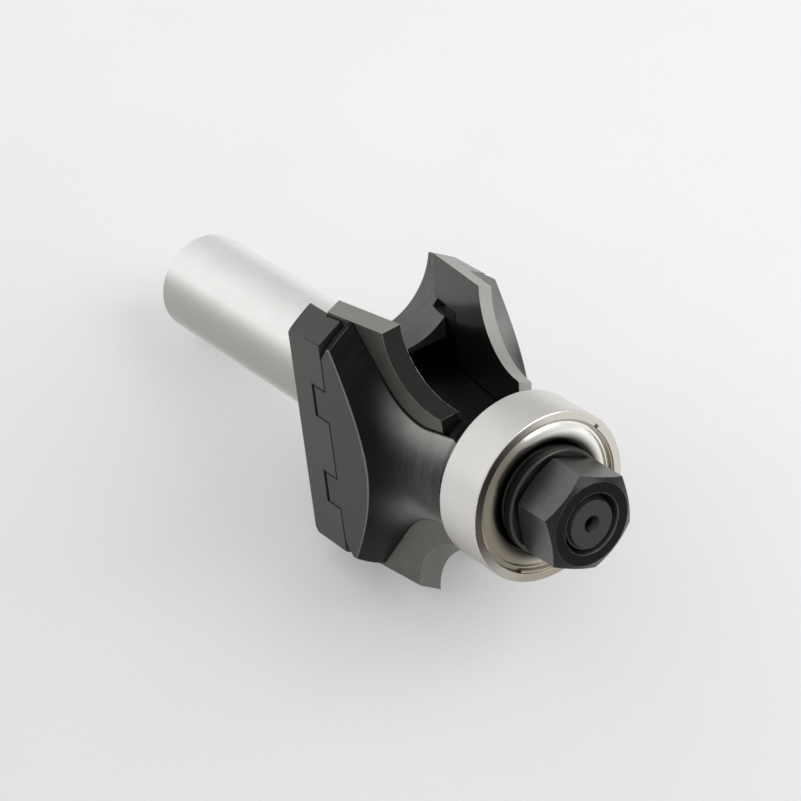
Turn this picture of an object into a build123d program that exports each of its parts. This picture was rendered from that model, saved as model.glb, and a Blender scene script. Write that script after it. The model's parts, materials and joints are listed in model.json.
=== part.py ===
from build123d import *
import os
from math import atan2, cos, degrees, pi, radians, sin, sqrt, tan

# A rounding-over router bit with a guide bearing: an arbor with a keyed flange, a profile head
# clamped on it by a nut, two knives and two chip limiters held between them, and a ball bearing.
# Sizes are in millimetres. Heights are measured along the tool axis from the flange face, the
# seat of the head, and grow towards the nut. The bit lies as it comes to rest: on the heels of
# one knife and one limiter, and on the end of its shank.

# ---- driving dimensions ----
# arbor
shank_diameter = 12.0
shank_length = 37.4
shank_end_chamfer = 0.7
shank_root_fillet = 0.4
flange_diameter = 33.7
flange_facet_width = 33.06
flange_thickness = 6.0
flange_edge_chamfer = 0.5
spindle_diameter = 6.0
spindle_end_chamfer = 0.4
spindle_end_taper = 0.8
centre_hole_diameter = 1.1
centre_hole_mouth = 1.9
centre_hole_depth = 2.4
centre_cone_angle = 60.0

# shape shared by the flange and the head
width_across_flats = 21.7
key_width = 3.7
key_length = 2.5
key_spacing = 10.8
key_clearance = 0.12
key_corner_chamfer = 0.35
seat_diameter = 15.0
seat_relief = 0.12
scoop_radius = 7.9
scoop_spacing = 31.8
pocket_root = 9.9

# profile head
head_diameter = 33.6
head_length = 16.1
head_back_chamfer = 1.2
head_front_chamfer = 0.5
flank_angle = 54.0
flank_arc_radius = 7.7
head_land_height = 1.7
hub_diameter = 16.6
nose_diameter = 8.6
nose_length = 1.2
web_width = 10.0
gullet_overrun = 1.0
bore_clearance = 0.03

# knives and limiters
plate_clearance = 0.1
plate_root = 2.0
heel_root = 11.4
plate_step = 2.5
relief_back = 1.0
knife_thickness = 2.0
knife_lean = 8.6
knife_hook = 4.2
knife_spread = 4.42
knife_relief = 1.0
knife_diameter = 35.0
knife_arc_radius = 7.6
knife_arc_height = 15.45
knife_tip_height = 16.05
limiter_thickness = 1.75
limiter_lean = 6.8
limiter_hook = 2.2
limiter_spread = 5.33
limiter_relief = 0.6
limiter_diameter = 33.5
limiter_arc_radius = 7.7
limiter_arc_height = 14.8
limiter_tip_height = 14.45

# guide bearing
bearing_diameter = 19.0
bearing_width = 6.0
bearing_edge_fillet = 0.2
ball_count = 7
ball_diameter = 3.5
ball_circle = 12.5
race_play = 0.02
race_radius_factor = 1.04
inner_shoulder = 10.0
outer_shoulder = 14.9
shield_seat_diameter = 17.1
shield_seat_depth = 0.8
shield_thickness = 0.25
shield_bore_gap = 0.15
shield_flange = 0.55
shield_crown = 0.32
shield_dip = 0.08
shield_edge_gap = 0.05
wire_diameter = 0.42
wire_bite = 0.1
wire_gap_angle = 41.5
wire_gap_turn = 150.2
pry_notch_turn = 309.8
pry_notch_width = 0.6
pry_notch_reach = 0.35
cage_wall = 1.0
cage_height = 2.9
cage_base_depth = 2.0
pocket_play = 0.1

# washer and nut
washer_diameter = 11.8
washer_thickness = 1.3
washer_edge_fillet = 0.3
nut_width = 10.0
nut_height = 5.7
nut_chamfer_angle = 30.0
nut_face_diameter = 9.2
nut_countersink_diameter = 6.8
nut_countersink_depth = 0.9
nut_turn = 5.0

# ---- the gullet faces of the plates ----
# The distance of such a face from the tool's middle plane falls towards the nut by its lean, and
# grows outwards by its hook. Knives lie on side -1 of a gullet, limiters on side 1.
spread = {-1: knife_spread, 1: limiter_spread}
lean = {-1: tan(radians(knife_lean)), 1: tan(radians(limiter_lean))}
hook = {-1: tan(radians(knife_hook)), 1: tan(radians(limiter_hook))}
thickness = {-1: knife_thickness, 1: limiter_thickness}


def reach(side, height, radius):
    """The distance x from the middle at which a gullet face meets this radius at this height."""
    foot = spread[side] - lean[side] * height
    slope = hook[side]
    return (sqrt((1 + slope**2) * radius**2 - foot**2) - foot * slope) / (1 + slope**2)


# ---- how the bit lies ----
heel_height = -key_length
knife_heel = reach(-1, heel_height, knife_diameter / 2)
limiter_heel = reach(1, heel_height, limiter_diameter / 2)
knife_side = spread[-1] - lean[-1] * heel_height + hook[-1] * knife_heel
limiter_side = spread[1] - lean[1] * heel_height + hook[1] * limiter_heel
roll = atan2(knife_heel - limiter_heel, knife_side + limiter_side)
heel_reach = knife_heel * cos(roll) - knife_side * sin(roll)
shank_end = -flange_thickness - shank_length
shank_touch = shank_end + shank_end_chamfer
tilt = atan2(heel_reach - shank_diameter / 2, heel_height - shank_touch)

bearing_foot = head_length + nose_length
bearing_top = bearing_foot + bearing_width
washer_top = bearing_top + washer_thickness
nut_top = washer_top + nut_height

end_face_radius = shank_diameter / 2 - shank_end_chamfer
leftmost = shank_end * cos(tilt) - end_face_radius * sin(tilt)
rightmost = nut_top * cos(tilt) + nut_face_diameter / 2 * sin(tilt)
axis_rise = -shank_touch * sin(tilt) + shank_diameter / 2 * cos(tilt)

tool = Plane(
    origin=(-(leftmost + rightmost) / 2, 0, axis_rise),
    x_dir=(-sin(tilt) * cos(roll), sin(roll), cos(tilt) * cos(roll)),
    z_dir=(cos(tilt), 0, sin(tilt)),
)
axis = Axis(tool.origin, tool.z_dir)


def turned_tool(turn):
    """The tool plane, turned about the axis."""
    return Plane(tool.origin, x_dir=tool.x_dir.rotate(axis, turn), z_dir=tool.z_dir)


def section(turn=0.0):
    """The plane through the tool axis: its x is the radius, its y the height."""
    turned = turned_tool(turn)
    return Plane(tool.origin, x_dir=turned.x_dir, z_dir=-turned.y_dir)


def gullet_face(turn, side):
    """The plane of a gullet face: x points outwards, z into the plate."""
    turned = turned_tool(turn)
    across = turned.y_dir * side
    into = across + turned.z_dir * lean[side] - turned.x_dir * hook[side]
    return Plane(tool.origin + across * spread[side], x_dir=turned.x_dir + across * hook[side], z_dir=into)


def place(turn, side, x, height):
    """The point of a gullet face at this x and height, in the coordinates of its plane."""
    across = side * (spread[side] - lean[side] * height + hook[side] * x)
    point = gullet_face(turn, side).to_local_coords(turned_tool(turn).from_local_coords((x, across, height)))
    return (point.X, point.Y)


def blank_outline(turn, side, clearance, far, tip_height):
    """The outline of a plate before its profile is ground, grown by the clearance."""
    root, heel, step = plate_root - clearance, heel_root - clearance, plate_step - clearance
    top = tip_height + clearance
    low = -key_length
    outline = [(far, low), (heel, low), (heel, step), (root, step), (root, top), (far, top)]
    return [place(turn, side, x, height) for x, height in outline]


def plate_slot(turn, side, tip_height):
    """Cuts the seat of a plate into the head."""
    with BuildSketch(gullet_face(turn, side).offset(-plate_clearance)) as slot:
        with BuildLine():
            Polyline(*blank_outline(turn, side, plate_clearance, head_diameter, tip_height), close=True)
        make_face()
    extrude(slot.sketch, amount=thickness[side] + 2 * plate_clearance, mode=Mode.SUBTRACT)


def heel_pocket(turn, side):
    """Cuts the pocket of a plate's heel into the flange."""
    low, high = -key_length - plate_clearance, key_length
    corners = [(pocket_root, high), (pocket_root, low), (flange_diameter, low), (flange_diameter, high)]
    with BuildSketch(gullet_face(turn, side).offset(-plate_clearance)) as pocket:
        with BuildLine():
            Polyline(*[place(turn, side, x, height) for x, height in corners], close=True)
        make_face()
    extrude(pocket.sketch, amount=thickness[side] + 2 * plate_clearance, mode=Mode.SUBTRACT)


def cutting_plate(name, turn, side, diameter, relief, arc_radius, arc_height, tip_height):
    """A knife or limiter: a blank whose edge is ground to its outer land, concave arc and short tip."""
    face = gullet_face(turn, side)
    radius, middle = diameter / 2, arc_radius / sqrt(2)
    foot_height = min(arc_height, tip_height)
    drop = sqrt(arc_radius**2 - (arc_height - foot_height) ** 2)
    marks = [(arc_height - arc_radius, radius), (arc_height - middle, radius - middle)]
    marks += [(foot_height, radius - drop), (heel_height, radius)]
    marks = [(reach(side, height, out), height) for height, out in marks]
    land, belly, foot, heel = [place(turn, side, *mark) for mark in marks]
    tip = place(turn, side, marks[2][0], tip_height)
    tip_root = place(turn, side, 0, tip_height)
    back = place(turn, side, marks[3][0], -2 * key_length)
    back_root = place(turn, side, 0, -2 * key_length)
    ends = [foot, tip] if tip_height > foot_height else [foot]
    grind = face.z_dir * thickness[side] - face.x_dir * relief + face.y_dir * side * relief_back
    with BuildPart() as plate:
        with BuildSketch(face):
            with BuildLine():
                Polyline(*blank_outline(turn, side, 0, diameter, tip_height), close=True)
            make_face()
        extrude(amount=thickness[side])
        with BuildSketch(face):
            with BuildLine():
                ThreePointArc(land, belly, foot)
                Polyline(*ends, tip_root, back_root, back, heel, land)
            make_face()
        extrude(amount=grind.length, dir=grind.normalized(), mode=Mode.INTERSECT)
    finish(plate, name)


def finish(piece, name):
    """Labels a finished piece and writes it."""
    piece.part.label = name
    export_step(piece.part, f"parts/{name}.step")


os.makedirs("parts", exist_ok=True)

# ---- arbor: shank, flange and spindle, turned from one bar ----
shank_radius = shank_diameter / 2
flange_radius = flange_diameter / 2
spindle_radius = spindle_diameter / 2
flange_back = -flange_thickness
scoop_centres = [(scoop_spacing / 2, 0), (-scoop_spacing / 2, 0)]
key_slot_width = key_width + 2 * key_clearance

with BuildPart() as arbor:
    with BuildSketch(section()):
        with BuildLine():
            Polyline(
                (0, shank_end),
                (shank_radius - shank_end_chamfer, shank_end),
                (shank_radius, shank_end + shank_end_chamfer),
                (shank_radius, flange_back),
                (flange_radius - flange_edge_chamfer, flange_back),
                (flange_radius, flange_back + flange_edge_chamfer),
                (flange_radius, -seat_relief),
                (seat_diameter / 2, -seat_relief),
                (seat_diameter / 2, 0),
                (spindle_radius, 0),
                (spindle_radius, nut_top - spindle_end_taper),
                (spindle_radius - spindle_end_chamfer, nut_top),
                (0, nut_top),
                close=True,
            )
        make_face()
    revolve(axis=axis)
    with BuildSketch(tool.offset(flange_back)):
        Rectangle(2 * flange_diameter, 2 * flange_diameter)
        Rectangle(2 * flange_diameter, width_across_flats, mode=Mode.SUBTRACT)
    extrude(amount=flange_thickness, mode=Mode.SUBTRACT)
    with BuildSketch(tool.offset(flange_back)):
        Rectangle(2 * flange_diameter, 2 * flange_diameter)
        RegularPolygon(flange_facet_width / 2, 6, major_radius=False, mode=Mode.SUBTRACT)
    extrude(amount=flange_thickness, mode=Mode.SUBTRACT)
    with BuildSketch(tool.offset(flange_back)):
        with Locations(*scoop_centres):
            Circle(scoop_radius)
    extrude(amount=flange_thickness, mode=Mode.SUBTRACT)
    with BuildSketch(tool.offset(-key_length - key_clearance)):
        with GridLocations(key_spacing, 0, 2, 1):
            Rectangle(key_slot_width, flange_diameter)
    extrude(amount=key_length + key_clearance, mode=Mode.SUBTRACT)
    for turn in (0, 180):
        for side in (-1, 1):
            heel_pocket(turn, side)
    with BuildSketch(tool.offset(nut_top)):
        Circle(centre_hole_diameter / 2)
    extrude(amount=-centre_hole_depth, mode=Mode.SUBTRACT)
    with BuildSketch(section()):
        with BuildLine():
            cone_depth = centre_hole_mouth / 2 / tan(radians(centre_cone_angle / 2))
            Polyline((0, nut_top), (centre_hole_mouth / 2, nut_top), (0, nut_top - cone_depth), close=True)
        make_face()
    revolve(axis=axis, mode=Mode.SUBTRACT)
finish(arbor, "arbor")

# ---- profile head: turned flank, two flats, two gullets, keys, and the seats of the plates ----
head_radius = head_diameter / 2
hub_radius = hub_diameter / 2
flank = radians(flank_angle)
arc_centre_radius = hub_radius + flank_arc_radius
tangent_radius = arc_centre_radius - flank_arc_radius * cos(flank)
tangent_height = head_land_height + (head_radius - tangent_radius) / tan(flank)
flank_arc_height = tangent_height + flank_arc_radius * sin(flank)
belly_height = flank_arc_height - flank_arc_radius * sin(flank / 2)
belly_radius = arc_centre_radius - flank_arc_radius * cos(flank / 2)
gullet_root = web_width / 2
gullet_reach = gullet_root + head_radius

with BuildPart() as profile_head:
    with BuildSketch(section()):
        with BuildLine():
            Polyline(
                (hub_radius, flank_arc_height),
                (hub_radius, head_length - head_front_chamfer),
                (hub_radius - head_front_chamfer, head_length),
                (nose_diameter / 2, head_length),
                (nose_diameter / 2, bearing_foot),
                (0, bearing_foot),
                (0, 0),
                (head_radius - head_back_chamfer, 0),
                (head_radius, head_back_chamfer),
                (head_radius, head_land_height),
                (tangent_radius, tangent_height),
            )
            ThreePointArc(
                (tangent_radius, tangent_height),
                (belly_radius, belly_height),
                (hub_radius, flank_arc_height),
            )
        make_face()
    revolve(axis=axis)
    with BuildSketch(tool):
        Rectangle(2 * head_diameter, 2 * head_diameter)
        Rectangle(2 * head_diameter, width_across_flats, mode=Mode.SUBTRACT)
    extrude(amount=head_length, mode=Mode.SUBTRACT)
    for turn in (0, 180):
        sides = []
        for height in (-gullet_overrun, head_length + gullet_overrun):
            corners = []
            for side, x in ((-1, gullet_root), (-1, gullet_reach), (1, gullet_reach), (1, gullet_root)):
                corners.append((x, side * (spread[side] - lean[side] * height + hook[side] * x)))
            with BuildSketch(turned_tool(turn).offset(height), mode=Mode.PRIVATE) as end:
                with BuildLine():
                    Polyline(*corners, close=True)
                make_face()
            sides.append(end.sketch.face())
        loft(sides, ruled=True, mode=Mode.SUBTRACT)
    with BuildSketch(tool):
        with GridLocations(key_spacing, 0, 2, 1):
            Rectangle(key_width, width_across_flats)
    extrude(amount=-key_length)
    key_ends = profile_head.faces().filter_by(axis).sort_by(axis)[:2]
    chamfer(key_ends.edges(), key_corner_chamfer)
    with BuildSketch(tool.offset(-key_length)):
        Circle(spindle_radius + bore_clearance)
    extrude(amount=key_length + bearing_foot, mode=Mode.SUBTRACT)
    for turn in (0, 180):
        plate_slot(turn, -1, knife_tip_height)
        plate_slot(turn, 1, limiter_tip_height)
finish(profile_head, "profile_head")

# ---- knives and chip limiters ----
for number, turn in ((1, 0), (2, 180)):
    cutting_plate(
        f"knife_{number}", turn, -1, knife_diameter, knife_relief, knife_arc_radius, knife_arc_height,
        knife_tip_height,
    )
    cutting_plate(
        f"limiter_{number}", turn, 1, limiter_diameter, limiter_relief, limiter_arc_radius,
        limiter_arc_height, limiter_tip_height,
    )

# ---- guide bearing ----
middle_height = bearing_foot + bearing_width / 2
ball_radius = ball_diameter / 2
race_radius = ball_radius * race_radius_factor
inner_race_centre = ball_circle / 2 - ball_radius - race_play + race_radius
outer_race_centre = ball_circle / 2 + ball_radius + race_play - race_radius
bearing_radius = bearing_diameter / 2
shield_seat_radius = shield_seat_diameter / 2
wire_radius = wire_diameter / 2
wire_circle = shield_seat_radius + wire_bite - wire_radius
wire_depth = shield_seat_depth - shield_thickness - wire_radius
shield_bore_radius = inner_shoulder / 2 + shield_bore_gap

with BuildPart() as bearing_inner_ring:
    with BuildSketch(section()):
        with Locations((0, middle_height)):
            Rectangle(inner_shoulder / 2, bearing_width, align=(Align.MIN, Align.CENTER))
            Rectangle(
                spindle_radius + bore_clearance, 2 * bearing_width, align=(Align.MIN, Align.CENTER),
                mode=Mode.SUBTRACT,
            )
        with Locations((inner_race_centre, middle_height)):
            Circle(race_radius, mode=Mode.SUBTRACT)
    revolve(axis=axis)
finish(bearing_inner_ring, "bearing_inner_ring")

with BuildPart() as bearing_outer_ring:
    with BuildSketch(section()):
        with Locations(((outer_shoulder / 2 + bearing_radius) / 2, middle_height)):
            Rectangle(bearing_radius - outer_shoulder / 2, bearing_width)
        with Locations((outer_race_centre, middle_height)):
            Circle(race_radius, mode=Mode.SUBTRACT)
        seat_middle = bearing_width / 2 - shield_seat_depth / 2
        for way in (-1, 1):
            with Locations((0, middle_height + way * seat_middle)):
                Rectangle(
                    shield_seat_radius, shield_seat_depth, align=(Align.MIN, Align.CENTER),
                    mode=Mode.SUBTRACT,
                )
            with Locations((wire_circle, middle_height + way * (bearing_width / 2 - wire_depth))):
                Rectangle(wire_diameter + wire_bite / 2, wire_diameter, mode=Mode.SUBTRACT)
    revolve(axis=axis)
    with BuildSketch(tool.offset(bearing_top)):
        with PolarLocations(shield_seat_radius, 1, start_angle=pry_notch_turn):
            Rectangle(2 * pry_notch_reach, pry_notch_width)
    extrude(amount=-shield_seat_depth + shield_thickness, mode=Mode.SUBTRACT)
    rims = bearing_outer_ring.edges().filter_by(GeomType.CIRCLE)
    rims = rims.filter_by(lambda edge: abs(edge.radius - bearing_radius) < 1e-3)
    fillet(rims, bearing_edge_fillet)
finish(bearing_outer_ring, "bearing_outer_ring")

with BuildPart() as bearing_cage:
    with BuildSketch(tool.offset(middle_height - cage_base_depth)):
        Circle(ball_circle / 2 + cage_wall / 2)
        Circle(ball_circle / 2 - cage_wall / 2, mode=Mode.SUBTRACT)
    extrude(amount=cage_height)
    with Locations(tool.offset(middle_height)):
        with PolarLocations(ball_circle / 2, ball_count):
            Sphere(ball_radius + pocket_play, mode=Mode.SUBTRACT)
finish(bearing_cage, "bearing_cage")

for number in range(ball_count):
    around = section(360 * number / ball_count)
    with BuildPart() as ball:
        with Locations(Plane(around.from_local_coords((ball_circle / 2, middle_height, 0)), z_dir=tool.z_dir)):
            Sphere(ball_radius)
    finish(ball, f"ball_{number + 1}")

for name, way in (("front", 1), ("rear", -1)):
    face_height = middle_height + way * bearing_width / 2
    under = face_height - way * shield_seat_depth
    rim_radius = shield_seat_radius - shield_edge_gap
    bend_radius = rim_radius - shield_flange
    crown_radius = (2 * bend_radius + shield_bore_radius) / 3
    bend, bore = (bend_radius, under), (shield_bore_radius, under - way * shield_dip)
    crown = (crown_radius, under + way * shield_crown)
    raise_up = Vector(0, way * shield_thickness)
    with BuildPart() as shield:
        with BuildSketch(section()):
            with BuildLine():
                Line((rim_radius, under), bend)
                ThreePointArc(bend, crown, bore)
                Line(bore, Vector(bore) + raise_up)
                ThreePointArc(Vector(bore) + raise_up, Vector(crown) + raise_up, Vector(bend) + raise_up)
                Line(Vector(bend) + raise_up, Vector(rim_radius, under) + raise_up)
                Line(Vector(rim_radius, under) + raise_up, (rim_radius, under))
            make_face()
        revolve(axis=axis)
    finish(shield, f"{name}_shield")

    with BuildPart() as snap_wire:
        with BuildSketch(section(wire_gap_turn)):
            with Locations((wire_circle, face_height - way * wire_depth)):
                RegularPolygon(wire_radius, 6)
        revolve(axis=axis, revolution_arc=360 - wire_gap_angle)
    finish(snap_wire, f"{name}_snap_wire")

# ---- washer and nut ----
with BuildPart() as washer:
    with BuildSketch(tool.offset(bearing_top)):
        Circle(washer_diameter / 2)
        Circle(spindle_radius + bore_clearance, mode=Mode.SUBTRACT)
    extrude(amount=washer_thickness)
    outer_edges = washer.edges().filter_by(lambda edge: abs(edge.length - pi * washer_diameter) < 1e-3)
    fillet(outer_edges, washer_edge_fillet)
finish(washer, "washer")

corner_radius = nut_width / sqrt(3)
corner_drop = (corner_radius - nut_face_diameter / 2) * tan(radians(nut_chamfer_angle))

with BuildPart() as nut:
    with BuildSketch(tool.offset(washer_top)):
        RegularPolygon(nut_width / 2, 6, major_radius=False, rotation=nut_turn)
        Circle(spindle_radius + bore_clearance, mode=Mode.SUBTRACT)
    extrude(amount=nut_height)
    with BuildSketch(section()):
        with BuildLine():
            Polyline(
                (0, washer_top),
                (nut_face_diameter / 2, washer_top),
                (corner_radius, washer_top + corner_drop),
                (corner_radius, nut_top - corner_drop),
                (nut_face_diameter / 2, nut_top),
                (nut_countersink_diameter / 2, nut_top),
                (spindle_radius, nut_top - nut_countersink_depth),
                (0, nut_top - nut_countersink_depth),
                close=True,
            )
        make_face()
    revolve(axis=axis, mode=Mode.INTERSECT)
finish(nut, "nut")
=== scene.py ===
"""The router bit's visual model: its pieces' finishes, the spindle's thread, and the studio round it.

Blender works in metres. Sizes on the tool are in millimetres on its own axes: outward through a gullet,
across to a flat, and along towards the nut, from where its axis meets the flange's face.
"""

import json
import math
from collections import namedtuple

import bpy
from mathutils import Matrix, Vector


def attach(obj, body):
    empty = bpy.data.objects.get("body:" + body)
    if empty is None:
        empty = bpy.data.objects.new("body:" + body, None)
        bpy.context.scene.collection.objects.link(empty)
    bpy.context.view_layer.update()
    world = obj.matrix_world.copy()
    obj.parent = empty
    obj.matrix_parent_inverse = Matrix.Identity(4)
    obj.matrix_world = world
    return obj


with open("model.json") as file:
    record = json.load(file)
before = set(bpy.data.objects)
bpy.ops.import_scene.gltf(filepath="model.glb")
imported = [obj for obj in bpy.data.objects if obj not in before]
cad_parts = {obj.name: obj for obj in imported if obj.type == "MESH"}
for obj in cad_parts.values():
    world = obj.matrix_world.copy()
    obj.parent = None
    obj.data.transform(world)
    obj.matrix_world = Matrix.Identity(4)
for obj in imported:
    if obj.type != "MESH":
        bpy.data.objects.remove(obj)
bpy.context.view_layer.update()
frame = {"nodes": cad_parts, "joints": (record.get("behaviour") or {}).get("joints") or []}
pieces = frame["nodes"]

MM = 0.001

# ---- the tool's axes, worked out from the joint that the bearing's ring turns on ----
# The height of the bearing's middle over the flange's face, and the roll that lays the bit on the heels of
# one knife and one limiter.
BEARING_HEIGHT = 20.3
ROLL = math.radians(4.1493)

rim_spin = next(joint for joint in frame["joints"] if joint["name"] == "rim_spin")
SIDEWAYS = Vector((0, 1, 0))
ALONG = Vector(rim_spin["axis"])
OUTWARD = ALONG.cross(SIDEWAYS) * math.cos(ROLL) + SIDEWAYS * math.sin(ROLL)
ACROSS = ALONG.cross(OUTWARD)
TOOL_ORIGIN = Vector(rim_spin["pos_m"]) - ALONG * (BEARING_HEIGHT * MM)

# ---- places on the tool: heights along it, and distances from its middle ----
FLANGE_BACK = -6.0
KEY_SLOT_FLOOR = -2.62
SCOOP_CENTRE = 15.9
SCOOP_RADIUS = 8.0
FLAT_DISTANCE = 10.85
WEB_HALF_WIDTH = 5.0
BLACK_SPINDLE_START = 20.0

# The outer face of the plate on each side of a gullet: its distance from the tool's middle at the flange,
# the degrees by which it leans in towards the nut and hooks outward, and how wide the painted sheen on the
# flank is beside it.
PlateSide = namedtuple("PlateSide", "side distance lean hook sheen_width")
LIMITER_SIDE = PlateSide(side=1.0, distance=7.11, lean=6.8, hook=2.2, sheen_width=3.4)
KNIFE_SIDE = PlateSide(side=-1.0, distance=6.46, lean=8.6, hook=4.2, sheen_width=9.0)

# The stretch of the spindle's thread that shows in the nut's countersink: the height where it starts, how
# far it climbs over how many turns, its radii, and the share of it over which the crest fades at either end.
THREAD_START = 29.58
THREAD_RISE = 0.58
THREAD_TURNS = 0.6
THREAD_ROOT = 2.5
THREAD_CREST = 2.93
THREAD_HALF_WIDTH = 0.12
THREAD_RUNOUT = 1 / 8
THREAD_STEPS = 64

# ---- colours, in linear red, green and blue ----
SHANK_STEEL = (0.93, 0.925, 0.91)
# Painted shade: the shank's side that looks down at its own shadow on the floor.
SHANK_PAINTED_SHADE = (0.39, 0.385, 0.36)
FLANGE_DARK = (0.096, 0.095, 0.091)
# Painted light on the flange's rim behind a knife, where it faces the light.
FLANGE_PAINTED_LIGHT = (0.42, 0.418, 0.41)
SCOOP_GROUND = (0.14, 0.142, 0.146)
SPINDLE_BLACK = (0.05, 0.05, 0.05)
# Painted shade in the gap where the head's keys sit in the flange's slots.
KEY_JOINT_SHADE = (0.004, 0.004, 0.004)

HEAD_LOW_FLANK = (0.004, 0.004, 0.0042)
# Painted sheen: the flank's colour greys towards the hollow by the bearing.
HEAD_HOLLOW_PAINTED_SHEEN = (0.038, 0.038, 0.0375)
# Painted sheen on the flank beside the plates.
HEAD_PAINTED_SHEEN = (0.42, 0.417, 0.40)
# Painted light on the head's flank behind a knife, where it faces the light: darker near the flange, lighter
# towards the nut.
HEAD_PAINTED_LIGHT_LOW = (0.20, 0.198, 0.193)
HEAD_PAINTED_LIGHT_HIGH = (0.40, 0.397, 0.388)
# Painted shade in the deep gullets between the plates.
HEAD_GULLET_SHADE = (0.004, 0.004, 0.0045)
HEAD_WORN_EDGE = (0.24, 0.24, 0.235)
# Painted highlight: the thin lit band round the edge of each flat.
HEAD_RIM_HIGHLIGHT = (0.22, 0.22, 0.215)
HEAD_FLAT = (0.088, 0.087, 0.083)
# Painted shade in the open seam along the plates' outer faces.
HEAD_SEAM_SHADE = (0.008, 0.008, 0.008)

CARBIDE_WORN_EDGE = (0.6, 0.59, 0.56)

CAGE_STEEL = (0.6, 0.58, 0.55)
BALL_STEEL = (0.85, 0.85, 0.85)
WIRE_STEEL = (0.45, 0.4, 0.34)
WASHER_BLACK = (0.055, 0.054, 0.051)
WASHER_WORN_EDGE = (0.05, 0.048, 0.045)
THREAD_BLACK = (0.06, 0.06, 0.061)

RING_STEEL = (0.77, 0.76, 0.735)
# Painted shade on the ring's lower side.
RING_PAINTED_SHADE = (0.43, 0.40, 0.355)
RING_END = (0.7, 0.665, 0.6)
# Painted shade on the ring's end faces: one side darker, and the bottom darker too.
RING_END_PAINTED_SHADE = (0.10, 0.085, 0.073)
RING_END_LOW_PAINTED_SHADE = (0.42, 0.37, 0.31)

SHIELD_NICKEL = (1.0, 0.98, 0.93)
# Painted dark reflection down one side of the shield.
SHIELD_PAINTED_DARK_SIDE = (0.25, 0.225, 0.182)
# Painted reflection of the black nut on the shield round the washer.
SHIELD_PAINTED_NUT_REFLECTION = (0.022, 0.02, 0.017)

NUT_SIDES = (0.15, 0.15, 0.151)
NUT_END = (0.013, 0.0132, 0.0145)
NUT_WORN_EDGE = (0.24, 0.24, 0.24)

# Painted light: the floor's colour is darker near the camera and lighter away from it.
FLOOR_NEAR_SHADED = (0.60, 0.602, 0.602)
FLOOR_FAR_LIT = (0.715, 0.717, 0.718)


def tool_way(outward, across, along):
    """A direction given on the tool's axes."""
    return OUTWARD * outward + ACROSS * across + ALONG * along


def tool_point(outward, across, along):
    """A point given in millimetres on the tool's axes."""
    return TOOL_ORIGIN + tool_way(outward, across, along) * MM


# ---- node helpers: all but put return what comes out of the nodes that they add to the tree ----
def put(tree, socket, value):
    """Links an output to this socket, or sets the socket's own value."""
    if isinstance(value, bpy.types.NodeSocket):
        tree.links.new(value, socket)
    elif socket.type == "RGBA":
        socket.default_value = (*value, 1.0)
    else:
        socket.default_value = value


def calc(tree, operation, a, b=0.0, c=0.0):
    """Arithmetic on numbers."""
    node = tree.nodes.new("ShaderNodeMath")
    node.operation = operation
    for socket, value in zip(node.inputs, (a, b, c)):
        put(tree, socket, value)
    return node.outputs[0]


def vector(tree, operation, a, b):
    """Arithmetic on vectors or colours. SCALE takes a number as b, and DOT_PRODUCT gives a number."""
    node = tree.nodes.new("ShaderNodeVectorMath")
    node.operation = operation
    put(tree, node.inputs[0], a)
    put(tree, node.inputs["Scale" if operation == "SCALE" else 1], b)
    return node.outputs["Value" if operation == "DOT_PRODUCT" else "Vector"]


def join(tree, x, y, z):
    """The vector with these three numbers."""
    node = tree.nodes.new("ShaderNodeCombineXYZ")
    for socket, value in zip(node.inputs, (x, y, z)):
        put(tree, socket, value)
    return node.outputs[0]


def magnitude(tree, value):
    return calc(tree, "ABSOLUTE", value)


def distance(tree, x, y):
    """How far a point is from the middle that x and y are measured from."""
    squares = [calc(tree, "POWER", side, 2.0) for side in (x, y)]
    return calc(tree, "SQRT", calc(tree, "ADD", *squares))


def step(tree, value, low, high):
    """0 below low and 1 above high, or the other way round where low is the larger."""
    node = tree.nodes.new("ShaderNodeMapRange")
    node.interpolation_type = "SMOOTHSTEP"
    put(tree, node.inputs["Value"], value)
    node.inputs["From Min"].default_value = low
    node.inputs["From Max"].default_value = high
    return node.outputs["Result"]


def band(tree, value, low, high, soft):
    """1 between low and high, falling to 0 over soft on either side."""
    rise = step(tree, value, low - soft, low)
    fall = step(tree, value, high, high + soft)
    return calc(tree, "SUBTRACT", rise, fall)


def product(tree, first, *others):
    """All of these multiplied: of masks, 1 only where every one is 1."""
    result = first
    for other in others:
        result = calc(tree, "MULTIPLY", result, other)
    return result


def outside(tree, mask):
    """1 where the mask is 0, and 0 where it is 1."""
    return calc(tree, "SUBTRACT", 1.0, mask)


def blend(tree, amount, a, b):
    """The colour this far from a to b."""
    node = tree.nodes.new("ShaderNodeMix")
    node.data_type = "RGBA"
    for index, value in ((0, amount), (6, a), (7, b)):
        put(tree, node.inputs[index], value)
    return node.outputs[2]


def between(tree, amount, a, b):
    """The number this far from a to b."""
    node = tree.nodes.new("ShaderNodeMix")
    for index, value in ((0, amount), (2, a), (3, b)):
        put(tree, node.inputs[index], value)
    return node.outputs[0]


def noise(tree, place, detail):
    node = tree.nodes.new("ShaderNodeTexNoise")
    put(tree, node.inputs["Vector"], place)
    node.inputs["Scale"].default_value = 1.0
    node.inputs["Detail"].default_value = detail
    return node.outputs["Fac"]


def rounded_normal(tree, radius, samples):
    """The surface normal with every edge rounded over this radius, in metres."""
    node = tree.nodes.new("ShaderNodeBevel")
    node.samples = samples
    put(tree, node.inputs["Radius"], radius)
    return node.outputs[0]


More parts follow.
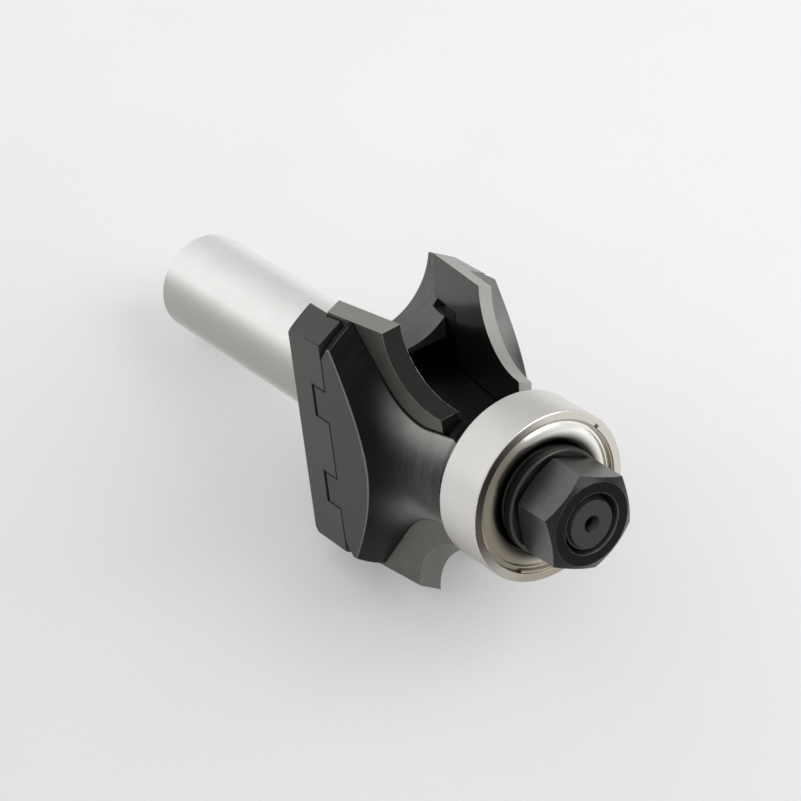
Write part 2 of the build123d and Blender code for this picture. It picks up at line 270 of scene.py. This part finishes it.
def face_towards(tree, axis):
    """How far the surface faces a tool axis: 1 straight at it, -1 away."""
    turn = tree.nodes.new("ShaderNodeVectorTransform")
    turn.vector_type = "NORMAL"
    turn.convert_from = "WORLD"
    turn.convert_to = "OBJECT"
    put(tree, turn.inputs[0], tree.nodes.new("ShaderNodeNewGeometry").outputs["True Normal"])
    return vector(tree, "DOT_PRODUCT", turn.outputs[0], axis)


def square_to(tree, axis, low, high):
    """1 where the surface looks along a tool axis, either way."""
    return step(tree, magnitude(tree, face_towards(tree, axis)), low, high)


# ---- effects that several finishes share ----
FLOAT, COLOUR, VECTOR = "NodeSocketFloat", "NodeSocketColor", "NodeSocketVector"


def even(fineness):
    """The same fineness along all three axes."""
    return (fineness, fineness, fineness)


def new_group(name, inputs, outputs):
    """An empty node group: its tree, what comes in and what goes out."""
    tree = bpy.data.node_groups.new(name, "ShaderNodeTree")
    for label, kind, default in inputs:
        socket = tree.interface.new_socket(label, in_out="INPUT", socket_type=kind)
        socket.default_value = default
    for label, kind in outputs:
        tree.interface.new_socket(label, in_out="OUTPUT", socket_type=kind)
    entry = tree.nodes.new("NodeGroupInput")
    leave = tree.nodes.new("NodeGroupOutput")
    return tree, entry.outputs, leave.inputs


def use(tree, group, **values):
    """Places a group in the tree with these values, and returns what comes out."""
    node = tree.nodes.new("ShaderNodeGroup")
    node.node_tree = group
    for label, value in values.items():
        put(tree, node.inputs[label], value)
    return node.outputs


def make_tool_frame():
    """Where the surface is on the tool: millimetres along its axes, radius, and turn round its axis."""
    labels = ("Outward", "Across", "Along", "Radius", "Turn")
    outputs = [(label, FLOAT) for label in labels] + [("Place", VECTOR)]
    tree, _, leave = new_group("tool_frame", (), outputs)
    coords = tree.nodes.new("ShaderNodeTexCoord").outputs["Object"]
    moved = vector(tree, "SUBTRACT", coords, TOOL_ORIGIN)
    out, across, along = [
        vector(tree, "DOT_PRODUCT", moved, axis / MM) for axis in (OUTWARD, ACROSS, ALONG)]
    radius, turn = distance(tree, out, across), calc(tree, "ARCTAN2", across, out)
    for label, value in zip(labels, (out, across, along, radius, turn)):
        put(tree, leave[label], value)
    put(tree, leave["Place"], join(tree, out, across, along))
    return tree


def make_ring_marks():
    """Fine turning marks: rings whose spacing follows the height and the radius."""
    inputs = [("Radius", FLOAT, 0), ("Along", FLOAT, 0), ("Pitch", FLOAT, 0.2), ("Turn", FLOAT, 0)]
    tree, entry, leave = new_group("ring_marks", inputs, [("Marks", FLOAT)])
    path = calc(tree, "ADD", entry["Radius"], calc(tree, "MULTIPLY", entry["Along"], 0.73))
    rings = calc(tree, "DIVIDE", path, entry["Pitch"])
    drift = calc(tree, "MULTIPLY", entry["Turn"], 0.4)
    put(tree, leave["Marks"], noise(tree, join(tree, rings, drift, 0.0), 4.0))
    return tree


def make_grain():
    """Ground or etched grain: noise stretched along one way, which lightens and darkens a colour."""
    inputs = [("Place", VECTOR, (0, 0, 0)), ("Stretch", VECTOR, (1, 1, 1)), ("Amount", FLOAT, 0.1),
              ("Colour", COLOUR, (0.5, 0.5, 0.5, 1))]
    tree, entry, leave = new_group("grain", inputs, [("Colour", COLOUR), ("Marks", FLOAT)])
    marks = noise(tree, vector(tree, "MULTIPLY", entry["Place"], entry["Stretch"]), 5.0)
    swing = calc(tree, "MULTIPLY", calc(tree, "SUBTRACT", marks, 0.5), entry["Amount"])
    put(tree, leave["Colour"], vector(tree, "SCALE", entry["Colour"], calc(tree, "ADD", 1.0, swing)))
    put(tree, leave["Marks"], marks)
    return tree


def make_edge_wear():
    """Edge is 1 along edges and corners, and Worn is the same broken up by noise."""
    inputs = [("Place", VECTOR, (0, 0, 0)), ("Width", FLOAT, 0.00012), ("Amount", FLOAT, 1.0)]
    tree, entry, leave = new_group("edge_wear", inputs, [("Worn", FLOAT), ("Edge", FLOAT)])
    flat = tree.nodes.new("ShaderNodeNewGeometry").outputs["Normal"]
    turned = vector(tree, "DOT_PRODUCT", rounded_normal(tree, entry["Width"], 6), flat)
    edge = step(tree, outside(tree, turned), 0.01, 0.09)
    spots = noise(tree, vector(tree, "MULTIPLY", entry["Place"], even(1.6)), 3.0)
    patches = step(tree, spots, 0.3, 0.6)
    put(tree, leave["Edge"], edge)
    put(tree, leave["Worn"], product(tree, edge, patches, entry["Amount"]))
    return tree


tool_frame = make_tool_frame()
ring_marks = make_ring_marks()
grain = make_grain()
edge_wear = make_edge_wear()


def turning_marks(tree, at, pitch):
    """Turning marks this many millimetres apart."""
    where = {label: at[label] for label in ("Radius", "Along", "Turn")}
    return use(tree, ring_marks, Pitch=pitch, **where)["Marks"]


def grained(tree, at, fineness, amount, colour):
    """The colour and marks of a grain as fine as this along each of the tool's axes."""
    return use(tree, grain, Place=at["Place"], Stretch=fineness, Amount=amount, Colour=colour)


def worn_edges(tree, at, width, amount):
    """1 on worn edges as wide as this in millimetres, broken up by noise."""
    return use(tree, edge_wear, Place=at["Place"], Width=width * MM, Amount=amount)["Worn"]


def key_joint_shade(tree, at):
    """1 along the joint where the head's keys sit in the flange's slots, painted dark as the shade in its
    gap.
    """
    edge = use(tree, edge_wear, Place=at["Place"], Width=0.2 * MM)["Edge"]
    beside_keys = band(tree, at["Along"], KEY_SLOT_FLOOR - 0.23, 0.15, 0.1)
    return product(tree, step(tree, edge, 0.1, 0.5), beside_keys)


# ---- materials ----
def new_material(name):
    """A new material, with its node tree and its shader."""
    material = bpy.data.materials.new(name)
    material.use_nodes = True
    tree = material.node_tree
    shader = next(n for n in tree.nodes if n.type == "BSDF_PRINCIPLED")
    return material, tree, shader


def set_finish(tree, shader, colour, metallic, roughness):
    """Sets the shader's colour, metal and roughness, each a value or what comes out of a node."""
    put(tree, shader.inputs["Base Color"], colour)
    put(tree, shader.inputs["Metallic"], metallic)
    put(tree, shader.inputs["Roughness"], roughness)


def add_bump(tree, shader, height, strength, depth=0.01, edge=0.08):
    """Marks as deep as this, over edges rounded by that much, in millimetres."""
    bump = tree.nodes.new("ShaderNodeBump")
    bump.inputs["Strength"].default_value = strength
    bump.inputs["Distance"].default_value = depth * MM
    put(tree, bump.inputs["Height"], height)
    put(tree, bump.inputs["Normal"], rounded_normal(tree, edge * MM, 4))
    put(tree, shader.inputs["Normal"], bump.outputs[0])


def darker(colour, share):
    return tuple(share * channel for channel in colour)


# ---- arbor ----
def scoop_walls(tree, at):
    """1 on the round walls of the flange's two scoops."""
    from_centre = calc(tree, "SUBTRACT", magnitude(tree, at["Outward"]), SCOOP_CENTRE)
    away = distance(tree, from_centre, at["Across"])
    inside = step(tree, away, SCOOP_RADIUS + 0.05, SCOOP_RADIUS - 0.05)
    return product(tree, inside, outside(tree, square_to(tree, ALONG, 0.4, 0.6)))


def painted_light_rim(tree, at):
    """1 on the flange's rim behind a knife, where painted light brightens it."""
    on_rim = step(tree, at["Radius"], 15.8, 16.2)
    behind_knife = product(tree, step(tree, at["Across"], -3.0, -6.0), step(tree, at["Outward"], 4.0, 9.0))
    return product(tree, on_rim, behind_knife, outside(tree, square_to(tree, ACROSS, 0.9, 0.97)))


def paint_arbor():
    """A satin shank with painted shade down one side, a dark flange with ground scoops and painted light on
    its rim behind a knife, and a black spindle.
    """
    material, tree, shader = new_material("arbor_satin_shank_and_dark_flange")
    at = use(tree, tool_frame)
    marks = turning_marks(tree, at, 0.16)
    shank = grained(tree, at, even(0.35), 0.13, SHANK_STEEL)
    flange = grained(tree, at, even(7.0), 0.22, FLANGE_DARK)
    scoop = grained(tree, at, (0.25, 0.25, 6.0), 0.75, SCOOP_GROUND)
    on_flange = band(tree, at["Along"], FLANGE_BACK - 0.05, 5.0, 0.05)
    in_scoop = product(tree, scoop_walls(tree, at), on_flange)
    on_spindle = step(tree, at["Along"], BLACK_SPINDLE_START, BLACK_SPINDLE_START + 1.0)
    behind_flange = step(tree, at["Along"], FLANGE_BACK + 0.1, FLANGE_BACK - 0.1)
    # Painted shade along the shank's side that looks down at its shadow on the floor.
    painted_shade_side = product(tree, step(tree, at["Across"], 4.4, 6.0), behind_flange)

    colour = blend(tree, on_flange, shank["Colour"], flange["Colour"])
    # Painted light: the flange's rim behind a knife is brightened.
    colour = blend(tree, painted_light_rim(tree, at), colour, FLANGE_PAINTED_LIGHT)
    colour = blend(tree, in_scoop, colour, scoop["Colour"])
    colour = blend(tree, on_spindle, colour, SPINDLE_BLACK)
    colour = blend(tree, key_joint_shade(tree, at), colour, KEY_JOINT_SHADE)
    colour = blend(tree, calc(tree, "MULTIPLY", painted_shade_side, 0.9), colour, SHANK_PAINTED_SHADE)
    roughness = between(tree, in_scoop, between(tree, on_flange, 0.34, 0.5), 0.38)
    set_finish(tree, shader, colour, between(tree, on_flange, 0.85, 0.75), roughness)
    height = between(tree, on_flange, marks, flange["Marks"])
    add_bump(tree, shader, between(tree, in_scoop, height, scoop["Marks"]), 0.25, depth=0.012)
    return material


# ---- profile head ----
def past_plate(tree, at, plate):
    """How many millimetres the surface is beyond the outer face of this plate."""
    lean, hook = math.tan(math.radians(plate.lean)), math.tan(math.radians(plate.hook))
    across = calc(tree, "MULTIPLY", at["Across"], calc(tree, "SIGN", at["Outward"]))
    face = calc(tree, "MULTIPLY_ADD", at["Along"], -lean, plate.distance)
    face = calc(tree, "MULTIPLY_ADD", magnitude(tree, at["Outward"]), hook, face)
    return calc(tree, "SUBTRACT", calc(tree, "MULTIPLY", across, plate.side), face)


def plate_masks(tree, at):
    """Masks beside the plates: painted shade in the open seam on their outer faces and in the gullet between
    them, the painted sheen on the turned flank and painted light on the side behind a knife."""
    past = {plate: past_plate(tree, at, plate) for plate in (LIMITER_SIDE, KNIFE_SIDE)}
    beside = {plate: step(tree, past[plate], -0.1, 0.1) for plate in past}
    # Painted shade in the seam just beyond each plate's outer face.
    seams = [band(tree, past[plate], 0.0, 0.16, 0.14) for plate in past]
    gullets = [step(tree, past[plate], 0.1, -0.1) for plate in past]
    # Painted sheen on the turned flank beside each plate.
    sheens = [
        product(tree, beside[plate], step(tree, past[plate], plate.sheen_width, 0.2)) for plate in past]
    off_web = step(tree, magnitude(tree, at["Outward"]), WEB_HALF_WIDTH - 0.4, WEB_HALF_WIDTH - 0.1)
    # Painted shade in the gullet between the plates.
    gullet = product(tree, *gullets, off_web)
    # Painted light: the flank on the side behind a knife is brightened.
    painted_light_behind_knife = product(tree, beside[KNIFE_SIDE], step(tree, at["Outward"], 4.0, 9.0))
    return calc(tree, "MAXIMUM", *seams), gullet, calc(tree, "MAXIMUM", *sheens), painted_light_behind_knife


def turned_flank(tree, at, marks, beside_plates, painted_light_behind_knife):
    """The turned flank's colour: streaky black with a painted sheen, greyer towards the hollow and beside
    the plates, and painted light on the side behind a knife.
    """
    along, out = at["Along"], magnitude(tree, at["Outward"])
    # Painted sheen: the flank is painted greyer towards the hollow by the bearing.
    hollow = step(tree, along, 6.0, 13.0)
    sheen = product(tree, beside_plates, step(tree, along, 4.5, 12.0), step(tree, out, 1.0, 7.0))
    # Painted light behind a knife, lighter towards the nut.
    painted_light_tone = blend(tree, step(tree, along, 0.0, 14.0), HEAD_PAINTED_LIGHT_LOW, HEAD_PAINTED_LIGHT_HIGH)
    bare = blend(tree, hollow, HEAD_LOW_FLANK, HEAD_HOLLOW_PAINTED_SHEEN)
    bare = blend(tree, sheen, bare, HEAD_PAINTED_SHEEN)
    bare = blend(tree, painted_light_behind_knife, bare, painted_light_tone)
    contrast = between(tree, hollow, 0.015, 0.10)
    streak = calc(tree, "MULTIPLY", calc(tree, "SUBTRACT", marks, 0.45), contrast)
    grained_flank = grained(tree, at, even(0.6), 0.5, bare)["Colour"]
    return vector(tree, "ADD", grained_flank, calc(tree, "MAXIMUM", streak, 0.0))


def paint_head():
    """Black oxide: a turned flank and satin flats, with a painted highlight on the rim and painted shade in
    the gullets, joints and seams.
    """
    material, tree, shader = new_material("profile_head_black_oxide")
    at = use(tree, tool_frame)
    marks = turning_marks(tree, at, 0.3)
    seam, gullet, beside_plates, painted_light_behind_knife = plate_masks(tree, at)
    flank_tone = turned_flank(tree, at, marks, beside_plates, painted_light_behind_knife)
    across = magnitude(tree, at["Across"])
    at_flat = step(tree, across, FLAT_DISTANCE - 0.05, FLAT_DISTANCE - 0.01)
    flat = product(tree, at_flat, square_to(tree, ACROSS, 0.97, 0.99))
    # Painted highlight on the rim round each flat.
    at_rim = step(tree, across, FLAT_DISTANCE - 0.19, FLAT_DISTANCE - 0.05)
    rim = product(tree, at_rim, outside(tree, flat))
    flat_tone = grained(tree, at, even(7.0), 0.22, HEAD_FLAT)
    worn = product(tree, worn_edges(tree, at, 0.16, 0.75), outside(tree, gullet))

    colour = blend(tree, gullet, flank_tone, HEAD_GULLET_SHADE)
    colour = blend(tree, worn, colour, HEAD_WORN_EDGE)
    colour = blend(tree, rim, colour, HEAD_RIM_HIGHLIGHT)
    colour = blend(tree, flat, colour, flat_tone["Colour"])
    colour = blend(tree, key_joint_shade(tree, at), colour, KEY_JOINT_SHADE)
    colour = blend(tree, seam, colour, HEAD_SEAM_SHADE)
    roughness = between(tree, flat, calc(tree, "MULTIPLY_ADD", marks, 0.12, 0.34), 0.55)
    set_finish(tree, shader, colour, 0.8, roughness)
    add_bump(tree, shader, between(tree, flat, marks, flat_tone["Marks"]), 0.35, depth=0.015, edge=0.1)
    return material


# ---- knives and limiters ----
def paint_plate(name, land, face, arc, face_roughness):
    """A ground carbide plate: its land, its flat faces and its arc each have their tone. The rake face,
    which looks into the gullet, has a painted dark reflection of the gullet, darkest towards the root."""
    material, tree, shader = new_material(name)
    at = use(tree, tool_frame)
    on_face = square_to(tree, ACROSS, 0.5, 0.7)
    on_land = product(tree, step(tree, at["Radius"], 15.0, 15.3), square_to(tree, OUTWARD, 0.86, 0.92))
    from_gullet = calc(tree, "MULTIPLY", face_towards(tree, ACROSS), calc(tree, "SIGN", at["Across"]))
    # Painted reflection: the rake face is darkened as if mirroring the dark gullet, most towards the root.
    rake = step(tree, from_gullet, -0.5, -0.7)
    painted_gullet_reflection = product(tree, step(tree, magnitude(tree, at["Outward"]), 13.2, 9.0), rake)
    rake_tone = blend(tree, painted_gullet_reflection, darker(face, 0.38), darker(face, 0.3))
    face_tone = grained(tree, at, even(0.9), 0.35, blend(tree, rake, face, rake_tone))
    arc_tone = grained(tree, at, (1.2, 6.0, 1.2), 0.25, arc)
    land_tone = grained(tree, at, (1.2, 5.0, 1.2), 0.2, land)

    colour = blend(tree, on_land, arc_tone["Colour"], land_tone["Colour"])
    colour = blend(tree, on_face, colour, face_tone["Colour"])
    colour = blend(tree, worn_edges(tree, at, 0.1, 0.5), colour, CARBIDE_WORN_EDGE)
    polish = step(tree, from_gullet, -0.7, -0.9)
    set_finish(tree, shader, colour, 0.85, between(tree, polish, 0.42, face_roughness))
    height = between(tree, on_face, arc_tone["Marks"], face_tone["Marks"])
    add_bump(tree, shader, height, 0.2, depth=0.008, edge=0.06)
    return material


# ---- bearing ----
def paint_ring():
    """Ground steel with painted shade low on one side. Its end faces have painted shade on that side and at
    the bottom.
    """
    material, tree, shader = new_material("bearing_ring_ground")
    at = use(tree, tool_frame)
    end = square_to(tree, ALONG, 0.8, 0.95)
    # Painted shade on the end faces, on one side and at the bottom.
    end_painted_shade = product(tree, step(tree, at["Across"], -1.0, 7.0), step(tree, at["Outward"], -9.5, -1.0))
    end_tone = blend(tree, end_painted_shade, RING_END, RING_END_PAINTED_SHADE)
    end_tone = blend(tree, step(tree, at["Outward"], -5.0, -8.5), end_tone, RING_END_LOW_PAINTED_SHADE)
    # Painted shade: the ring is darker low on one side.
    painted_shade_low = product(tree, step(tree, at["Across"], -2.0, 6.0), step(tree, at["Outward"], 3.0, -7.0))
    ground = blend(tree, painted_shade_low, grained(tree, at, even(0.4), 0.08, RING_STEEL)["Colour"], RING_PAINTED_SHADE)
    set_finish(tree, shader, blend(tree, end, ground, end_tone), 0.9, between(tree, end, 0.34, 0.28))
    add_bump(tree, shader, turning_marks(tree, at, 0.12), 0.2)
    return material


def paint_shield():
    """A shield with nickel plating, a painted reflection of the dark nut round the washer and a painted dark
    reflection down one side.
    """
    material, tree, shader = new_material("shield_nickel")
    at = use(tree, tool_frame)
    # Painted dark reflection: the nickel darkens down one side.
    nickel_and_painted_dark_side = blend(tree, step(tree, at["Across"], -2.5, 5.0), SHIELD_NICKEL, SHIELD_PAINTED_DARK_SIDE)
    # Painted reflection of the nut: the shield goes dark round the washer.
    painted_nut_reflection = step(tree, at["Radius"], 7.6, 6.3)
    colour = blend(tree, painted_nut_reflection, grained(tree, at, even(0.5), 0.2, nickel_and_painted_dark_side)["Colour"], SHIELD_PAINTED_NUT_REFLECTION)
    set_finish(tree, shader, colour, 1.0, 0.2)
    add_bump(tree, shader, turning_marks(tree, at, 0.3), 0.04)
    return material


# ---- spindle, washer and nut ----
def paint_nut():
    """Black oxide, paler on the flats, worn on its edges and darkest on the end face."""
    material, tree, shader = new_material("nut_black_oxide")
    at = use(tree, tool_frame)
    end = square_to(tree, ALONG, 0.6, 0.95)
    tone = grained(tree, at, even(1.5), 0.35, blend(tree, end, NUT_SIDES, NUT_END))
    colour = blend(tree, worn_edges(tree, at, 0.14, 0.8), tone["Colour"], NUT_WORN_EDGE)
    set_finish(tree, shader, colour, 1.0, 0.3)
    add_bump(tree, shader, between(tree, end, tone["Marks"], turning_marks(tree, at, 0.15)), 0.2)
    return material


def paint_turned(name, colour, roughness, metallic, pitch=0.15, strength=0.2, worn_edge=None):
    """A small turned, drawn or pressed piece of one colour, with worn edges where they have a colour."""
    material, tree, shader = new_material(name)
    at = use(tree, tool_frame)
    tone = grained(tree, at, even(1.5), 0.2, colour)["Colour"]
    if worn_edge:
        tone = blend(tree, worn_edges(tree, at, 0.14, 0.8), tone, worn_edge)
    set_finish(tree, shader, tone, metallic, roughness)
    add_bump(tree, shader, turning_marks(tree, at, pitch), strength)
    return material


def make_spindle_thread():
    """The thread that shows in the nut's countersink: a ridge that winds up the spindle and runs out at
    both ends."""
    points, faces = [], []
    for i in range(THREAD_STEPS + 1):
        t = i / THREAD_STEPS
        turn = 2 * math.pi * THREAD_TURNS * t
        height = THREAD_START + THREAD_RISE * t
        fade = min(1.0, t / THREAD_RUNOUT, (1 - t) / THREAD_RUNOUT)
        crest = THREAD_ROOT + (THREAD_CREST - THREAD_ROOT) * fade
        section = ((THREAD_ROOT, -THREAD_HALF_WIDTH), (crest, 0.0), (THREAD_ROOT, THREAD_HALF_WIDTH))
        for radius, shift in section:
            points.append(tool_point(radius * math.cos(turn), radius * math.sin(turn), height + shift))
    for a in range(0, 3 * THREAD_STEPS, 3):
        b = a + 3
        faces += [(a, b, b + 1, a + 1), (a + 1, b + 1, b + 2, a + 2), (a + 2, b + 2, b, a)]
    last = 3 * THREAD_STEPS
    faces += [(0, 1, 2), (last, last + 2, last + 1)]
    mesh = bpy.data.meshes.new("spindle_thread")
    mesh.from_pydata(points, [], faces)
    mesh.materials.append(paint_turned("thread_black_oxide", THREAD_BLACK, roughness=0.35, metallic=0.8))
    thread = bpy.data.objects.new("spindle_thread", mesh)
    bpy.context.scene.collection.objects.link(thread)
    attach(thread, "bit")


def dress(material, *names):
    """Gives these pieces this material alone."""
    for name in names:
        mesh = pieces[name].data
        mesh.materials.clear()
        mesh.materials.append(material)


def dress_bit():
    """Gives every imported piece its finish."""
    dress(paint_arbor(), "arbor")
    dress(paint_head(), "profile_head")
    # The two knives are lit and shaded copies of one carbide: knife_2's land and arc are painted darker as
    # shade.
    knife_1 = paint_plate("knife_1_carbide_painted_light", land=(0.78, 0.777, 0.76), face=(0.155, 0.151, 0.138),
                          arc=(0.42, 0.41, 0.39), face_roughness=0.2)
    knife_2 = paint_plate("knife_2_carbide_painted_shade", land=(0.5, 0.49, 0.47), face=(0.16, 0.156, 0.143),
                          arc=(0.2, 0.196, 0.186), face_roughness=0.2)
    limiter = paint_plate("limiter_carbide", land=(0.3, 0.296, 0.272), face=(0.135, 0.131, 0.12),
                          arc=(0.03, 0.0294, 0.0276), face_roughness=0.3)
    dress(knife_1, "knife_1")
    dress(knife_2, "knife_2")
    dress(limiter, "limiter_1", "limiter_2")
    dress(paint_ring(), "bearing_outer_ring", "bearing_inner_ring")
    dress(paint_turned("cage_pressed", CAGE_STEEL, roughness=0.4, metallic=0.9), "bearing_cage")
    ball = paint_turned("ball_polished", BALL_STEEL, roughness=0.12, metallic=1.0, pitch=0.3, strength=0.02)
    dress(ball, *sorted(name for name in pieces if name.startswith("ball_")))
    dress(paint_shield(), "front_shield", "rear_shield")
    wire = paint_turned("snap_wire_drawn", WIRE_STEEL, roughness=0.3, metallic=0.9)
    dress(wire, "front_snap_wire", "rear_snap_wire")
    washer = paint_turned("washer_blackened", WASHER_BLACK, roughness=0.3, metallic=0.85,
                          worn_edge=WASHER_WORN_EDGE)
    dress(washer, "washer")
    dress(paint_nut(), "nut")


# ---- floor, light and camera ----
def make_floor():
    """Pale matt card that glows a little from within to lift its shadows, with painted light that brightens
    it away from the camera.
    """
    bpy.ops.mesh.primitive_plane_add(size=3.0, location=(0, 0, 0))
    floor = bpy.context.active_object
    floor.name = "floor"
    material, tree, shader = new_material("floor_pale_card")
    place = tree.nodes.new("ShaderNodeTexCoord").outputs["Object"]
    # Painted light falling off towards the camera.
    far = step(tree, vector(tree, "DOT_PRODUCT", place, (-0.31, 0.66, 0)), -0.05, 0.05)
    speck = noise(tree, vector(tree, "MULTIPLY", place, even(2400)), 2.0)
    cloud = noise(tree, vector(tree, "MULTIPLY", place, even(45)), 2.0)
    specks = calc(tree, "MULTIPLY_ADD", speck, 0.10, 0.95)
    clouds = calc(tree, "MULTIPLY_ADD", cloud, 0.05, 0.975)
    mottled_and_shaded = vector(tree, "SCALE", blend(tree, far, FLOOR_NEAR_SHADED, FLOOR_FAR_LIT), product(tree, specks, clouds))
    put(tree, shader.inputs["Base Color"], mottled_and_shaded)
    shader.inputs["Roughness"].default_value = 0.9
    shader.inputs["Specular IOR Level"].default_value = 0.0
    # The floor glows a little: painted light that lifts the shadows on it.
    shader.inputs["Emission Color"].default_value = (1, 1, 0.995, 1)
    shader.inputs["Emission Strength"].default_value = 0.21
    floor.data.materials.append(material)


def make_world():
    """A white tent, brightest beside the shank's end and dimmest straight behind."""
    world = bpy.data.worlds.new("studio")
    bpy.context.scene.world = world
    world.use_nodes = True
    tree = world.node_tree
    background = next(n for n in tree.nodes if n.type == "BACKGROUND")
    way = tree.nodes.new("ShaderNodeTexCoord").outputs["Generated"]
    beside_shank = Vector((-0.75, -0.55, 0.35)).normalized()
    behind = Vector((-0.55, 0.70, 0.45)).normalized()
    side = step(tree, vector(tree, "DOT_PRODUCT", way, beside_shank), 0.3, 1.0)
    rear = step(tree, vector(tree, "DOT_PRODUCT", way, behind), 0.5, 1.0)
    background.inputs["Color"].default_value = (1.0, 1.0, 0.998, 1)
    strength = product(tree, between(tree, side, 0.70, 0.93), between(tree, rear, 1.0, 0.8))
    put(tree, background.inputs["Strength"], strength)


def area_light(name, place, target, side, power):
    """A square light that looks at its target."""
    data = bpy.data.lights.new(name, "AREA")
    data.shape = "SQUARE"
    data.size = side
    data.energy = power
    light = bpy.data.objects.new(name, data)
    bpy.context.scene.collection.objects.link(light)
    light.location = place
    light.rotation_euler = (Vector(target) - Vector(place)).to_track_quat("-Z", "Y").to_euler()


def make_camera():
    """A long lens past the nut, above and to one side, that looks back at the bit."""
    data = bpy.data.cameras.new("camera")
    data.sensor_width = 36.0
    data.lens = 130.73
    data.clip_start = 0.01
    camera = bpy.data.objects.new("camera", data)
    bpy.context.scene.collection.objects.link(camera)
    right, up = tool_way(-0.10438, -0.81007, 0.57698), tool_way(0.85665, -0.36796, -0.36162)
    turn = Matrix((right, up, right.cross(up))).transposed()
    camera.matrix_world = Matrix.Translation(tool_point(159.72, 143.89, 228.0)) @ turn.to_4x4()
    bpy.context.scene.camera = camera


dress_bit()
make_spindle_thread()
make_floor()
make_world()
area_light("overhead", place=(0.36, 0.33, 0.42), target=(0, 0, 0.01), side=0.5, power=1.75)
make_camera()
bpy.context.scene.view_settings.view_transform = "Standard"
